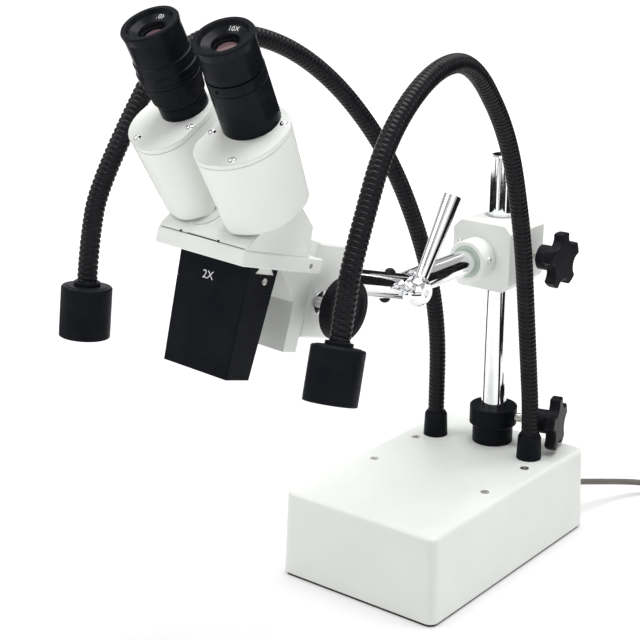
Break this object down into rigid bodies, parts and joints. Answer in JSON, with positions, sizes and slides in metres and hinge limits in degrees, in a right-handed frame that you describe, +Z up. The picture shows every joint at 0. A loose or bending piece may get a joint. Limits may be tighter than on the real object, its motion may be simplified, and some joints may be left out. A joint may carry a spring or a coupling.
{
  "type": "stereo microscope",
  "caption": "Binocular stereo microscope on a chrome pillar and jointed arm, over a weighted box base with two gooseneck lamps.",
  "frame": {"origin": "on the pillar's axis, at the underside of the rubber sole, where the base stands on the table", "axes": "+X to the user's right, +Y to the back, away from the user, +Z up along the pillar"},
  "size_m": [0.3126, 0.5826, 0.4338],
  "materials": {
    "white_paint": "satin fine texture",
    "zinc_steel": "zinc plated",
    "rubber": "matte",
    "cast_iron": "as cast, painted",
    "black_enamel": "black satin enamel",
    "chrome": "polished",
    "black_plastic": "satin moulded",
    "neck_black": "semi-gloss sleeve",
    "cord_grey": "matte vinyl",
    "bushing_plastic": "plain",
    "liner_green": "plain",
    "steel": "ground",
    "black_anodised": "black anodised satin",
    "coated_glass": "coated",
    "lamp_glass": "frosted"
  },
  "bodies": {
    "base": {"base_housing": "white_paint", "base_screws": "zinc_steel", "rubber_sole": "rubber", "ballast_plate": "cast_iron", "pillar_socket": "black_enamel", "pillar": "chrome", "neck_sockets": "black_enamel", "neck_right_1": "neck_black", "neck_left_1": "neck_black", "cord_gland": "cord_grey", "power_cord": "cord_grey", "cord_coil": "cord_grey", "plug": "black_plastic"},
    "rocker": {"switch_rocker": "black_plastic"},
    "stop_ring": {"stop_ring": "black_enamel"},
    "stop_ring_knob": {"lower_knob": "black_plastic", "lower_knob_stud": "zinc_steel"},
    "clamp_slide": {"clamp_bushing": "bushing_plastic"},
    "clamp": {"clamp_block": "white_paint", "boss_screws": "chrome"},
    "clamp_knob": {"upper_knob": "black_plastic", "upper_knob_stud": "zinc_steel"},
    "arm_liner": {"boss_liner": "liner_green"},
    "rear_arm": {"rear_tube": "chrome"},
    "tilt_lever": {"lever": "chrome"},
    "tilt_arm": {"front_tube": "chrome", "cross_pin": "black_plastic", "focus_block": "white_paint", "focus_bushings": "chrome"},
    "focus_drive": {"focus_shaft": "steel", "focus_knob_right": "black_plastic", "focus_knob_left": "black_plastic"},
    "carriage": {"rack_slide": "steel", "carriage_plate": "white_paint", "head_slab": "white_paint", "optics_housing": "white_paint"},
    "objective": {"objective_box": "black_enamel", "objective_lenses": "coated_glass", "objective_screw": "zinc_steel"},
    "right_pod": {"pod_right": "white_paint", "pod_screws_right": "chrome", "eyetube_right": "black_anodised"},
    "left_pod": {"pod_left": "white_paint", "pod_screws_left": "chrome", "eyetube_left": "black_anodised"},
    "right_eyepiece": {"eyepiece_right": "black_anodised", "eyepiece_lens_right": "coated_glass"},
    "left_dioptre": {"dioptre_ring": "black_anodised"},
    "left_eyepiece": {"eyepiece_left": "black_anodised", "eyepiece_lens_left": "coated_glass"},
    "right_neck_low": {"neck_right_2": "neck_black"},
    "right_neck_mid": {"neck_right_3": "neck_black"},
    "right_lamp": {"neck_right_4": "neck_black", "lamp_shell_right": "black_enamel", "lamp_lens_right": "lamp_glass"},
    "left_neck_low": {"neck_left_2": "neck_black"},
    "left_neck_mid": {"neck_left_3": "neck_black"},
    "left_lamp": {"neck_left_4": "neck_black", "lamp_shell_left": "black_enamel", "lamp_lens_left": "lamp_glass"}
  },
  "joints": [
    {"name": "power_rocker", "type": "hinge", "parent": "base", "child": "rocker", "pos_m": [-0.032, 0.0265, 0.0365], "axis": [1, 0, 0], "range_deg": [0, 14]},
    {"name": "stop_ring_height", "type": "slide", "parent": "base", "child": "stop_ring", "axis": [0, 0, 1], "range_m": [0, 0.085]},
    {"name": "stop_ring_knob_turn", "type": "hinge", "parent": "stop_ring", "child": "stop_ring_knob", "pos_m": [0, 0, 0.0895], "axis": [0.9659, 0.2588, 0], "continuous": true},
    {"name": "arm_height", "type": "slide", "parent": "base", "child": "clamp_slide", "axis": [0, 0, 1], "range_m": [-0.055, 0.045]},
    {"name": "arm_swivel", "type": "hinge", "parent": "clamp_slide", "child": "clamp", "pos_m": [0, 0, 0.2255], "axis": [0, 0, -1], "range_deg": [-2.5, 8]},
    {"name": "clamp_knob_turn", "type": "hinge", "parent": "clamp", "child": "clamp_knob", "pos_m": [0, 0, 0.2255], "axis": [1, 0, 0], "continuous": true},
    {"name": "arm_roll", "type": "hinge", "parent": "clamp", "child": "arm_liner", "pos_m": [0, -0.032, 0.2255], "axis": [0, 1, 0], "range_deg": [-3, 3]},
    {"name": "arm_reach", "type": "slide", "parent": "arm_liner", "child": "rear_arm", "axis": [0, -1, 0], "range_m": [0, 0.015]},
    {"name": "tilt_lever_turn", "type": "hinge", "parent": "rear_arm", "child": "tilt_lever", "pos_m": [0, -0.133, 0.2255], "axis": [0.9986, 0, -0.0523], "range_deg": [-30, 55]},
    {"name": "head_tilt", "type": "hinge", "parent": "rear_arm", "child": "tilt_arm", "pos_m": [0, -0.133, 0.2255], "axis": [-0.9986, 0, 0.0523], "range_deg": [-30, 25]},
    {"name": "focus_height", "type": "slide", "parent": "tilt_arm", "child": "carriage", "axis": [0.0503, 0.2756, 0.9599], "range_m": [-0.018, 0.018]},
    {"name": "focus_knob_turn", "type": "hinge", "parent": "tilt_arm", "child": "focus_drive", "pos_m": [0.00123, -0.2557, 0.2489], "axis": [0.9986, 0, -0.0523], "range_deg": [-172.5, 172.5]},
    {"name": "objective_slide", "type": "slide", "parent": "carriage", "child": "objective", "axis": [0.9986, 0, -0.0523], "range_m": [-0.056, 0]},
    {"name": "right_pod_turn", "type": "hinge", "parent": "carriage", "child": "right_pod", "pos_m": [0.01715, -0.32357, 0.31275], "axis": [0.0806, -0.4845, 0.8711], "range_deg": [-20, 0]},
    {"name": "left_pod_turn", "type": "hinge", "parent": "carriage", "child": "left_pod", "pos_m": [-0.00793, -0.32357, 0.31407], "axis": [0.0109, -0.4845, 0.8747], "range_deg": [0, 20]},
    {"name": "right_eyepiece_pull", "type": "slide", "parent": "right_pod", "child": "right_eyepiece", "axis": [0.0806, -0.4845, 0.8711], "range_m": [0, 0.03]},
    {"name": "dioptre_turn", "type": "hinge", "parent": "left_pod", "child": "left_dioptre", "pos_m": [-0.01753, -0.33544, 0.38764], "axis": [0.0109, -0.4845, 0.8747], "range_deg": [0, 240.6]},
    {"name": "dioptre_lift", "type": "slide", "parent": "left_pod", "child": "left_eyepiece", "axis": [0.0109, -0.4845, 0.8747], "range_m": [0, 0.004]},
    {"name": "right_neck_sway", "type": "hinge", "parent": "base", "child": "right_neck_low", "pos_m": [0.0426, -0.018, 0.1205], "axis": [0, 1, 0], "range_deg": [-1, 12]},
    {"name": "right_neck_lift", "type": "hinge", "parent": "right_neck_low", "child": "right_neck_mid", "pos_m": [0.0532, -0.1085, 0.361], "axis": [-0.9929, 0.1191, 0], "range_deg": [-12, 12]},
    {"name": "right_lamp_bend", "type": "hinge", "parent": "right_neck_mid", "child": "right_lamp", "pos_m": [0.073, -0.265, 0.335], "axis": [-0.9929, 0.1191, 0], "range_deg": [-14, 14]},
    {"name": "left_neck_sway", "type": "hinge", "parent": "base", "child": "left_neck_low", "pos_m": [-0.0426, -0.018, 0.1225], "axis": [0, -1, 0], "range_deg": [-1, 12]},
    {"name": "left_neck_lift", "type": "hinge", "parent": "left_neck_low", "child": "left_neck_mid", "pos_m": [-0.0575, -0.104, 0.3365], "axis": [-0.9766, -0.2149, 0], "range_deg": [-12, 12]},
    {"name": "left_lamp_bend", "type": "hinge", "parent": "left_neck_mid", "child": "left_lamp", "pos_m": [-0.098, -0.28, 0.3725], "axis": [-0.9766, -0.2149, 0], "range_deg": [-14, 14]}
  ],
  "couplings": [
    {"joint": "focus_knob_turn", "follows": "focus_height", "rad_per_m": -166.67},
    {"joint": "left_pod_turn", "follows": "right_pod_turn", "ratio": -1},
    {"joint": "dioptre_turn", "follows": "dioptre_lift", "rad_per_m": 1047.2}
  ]
}
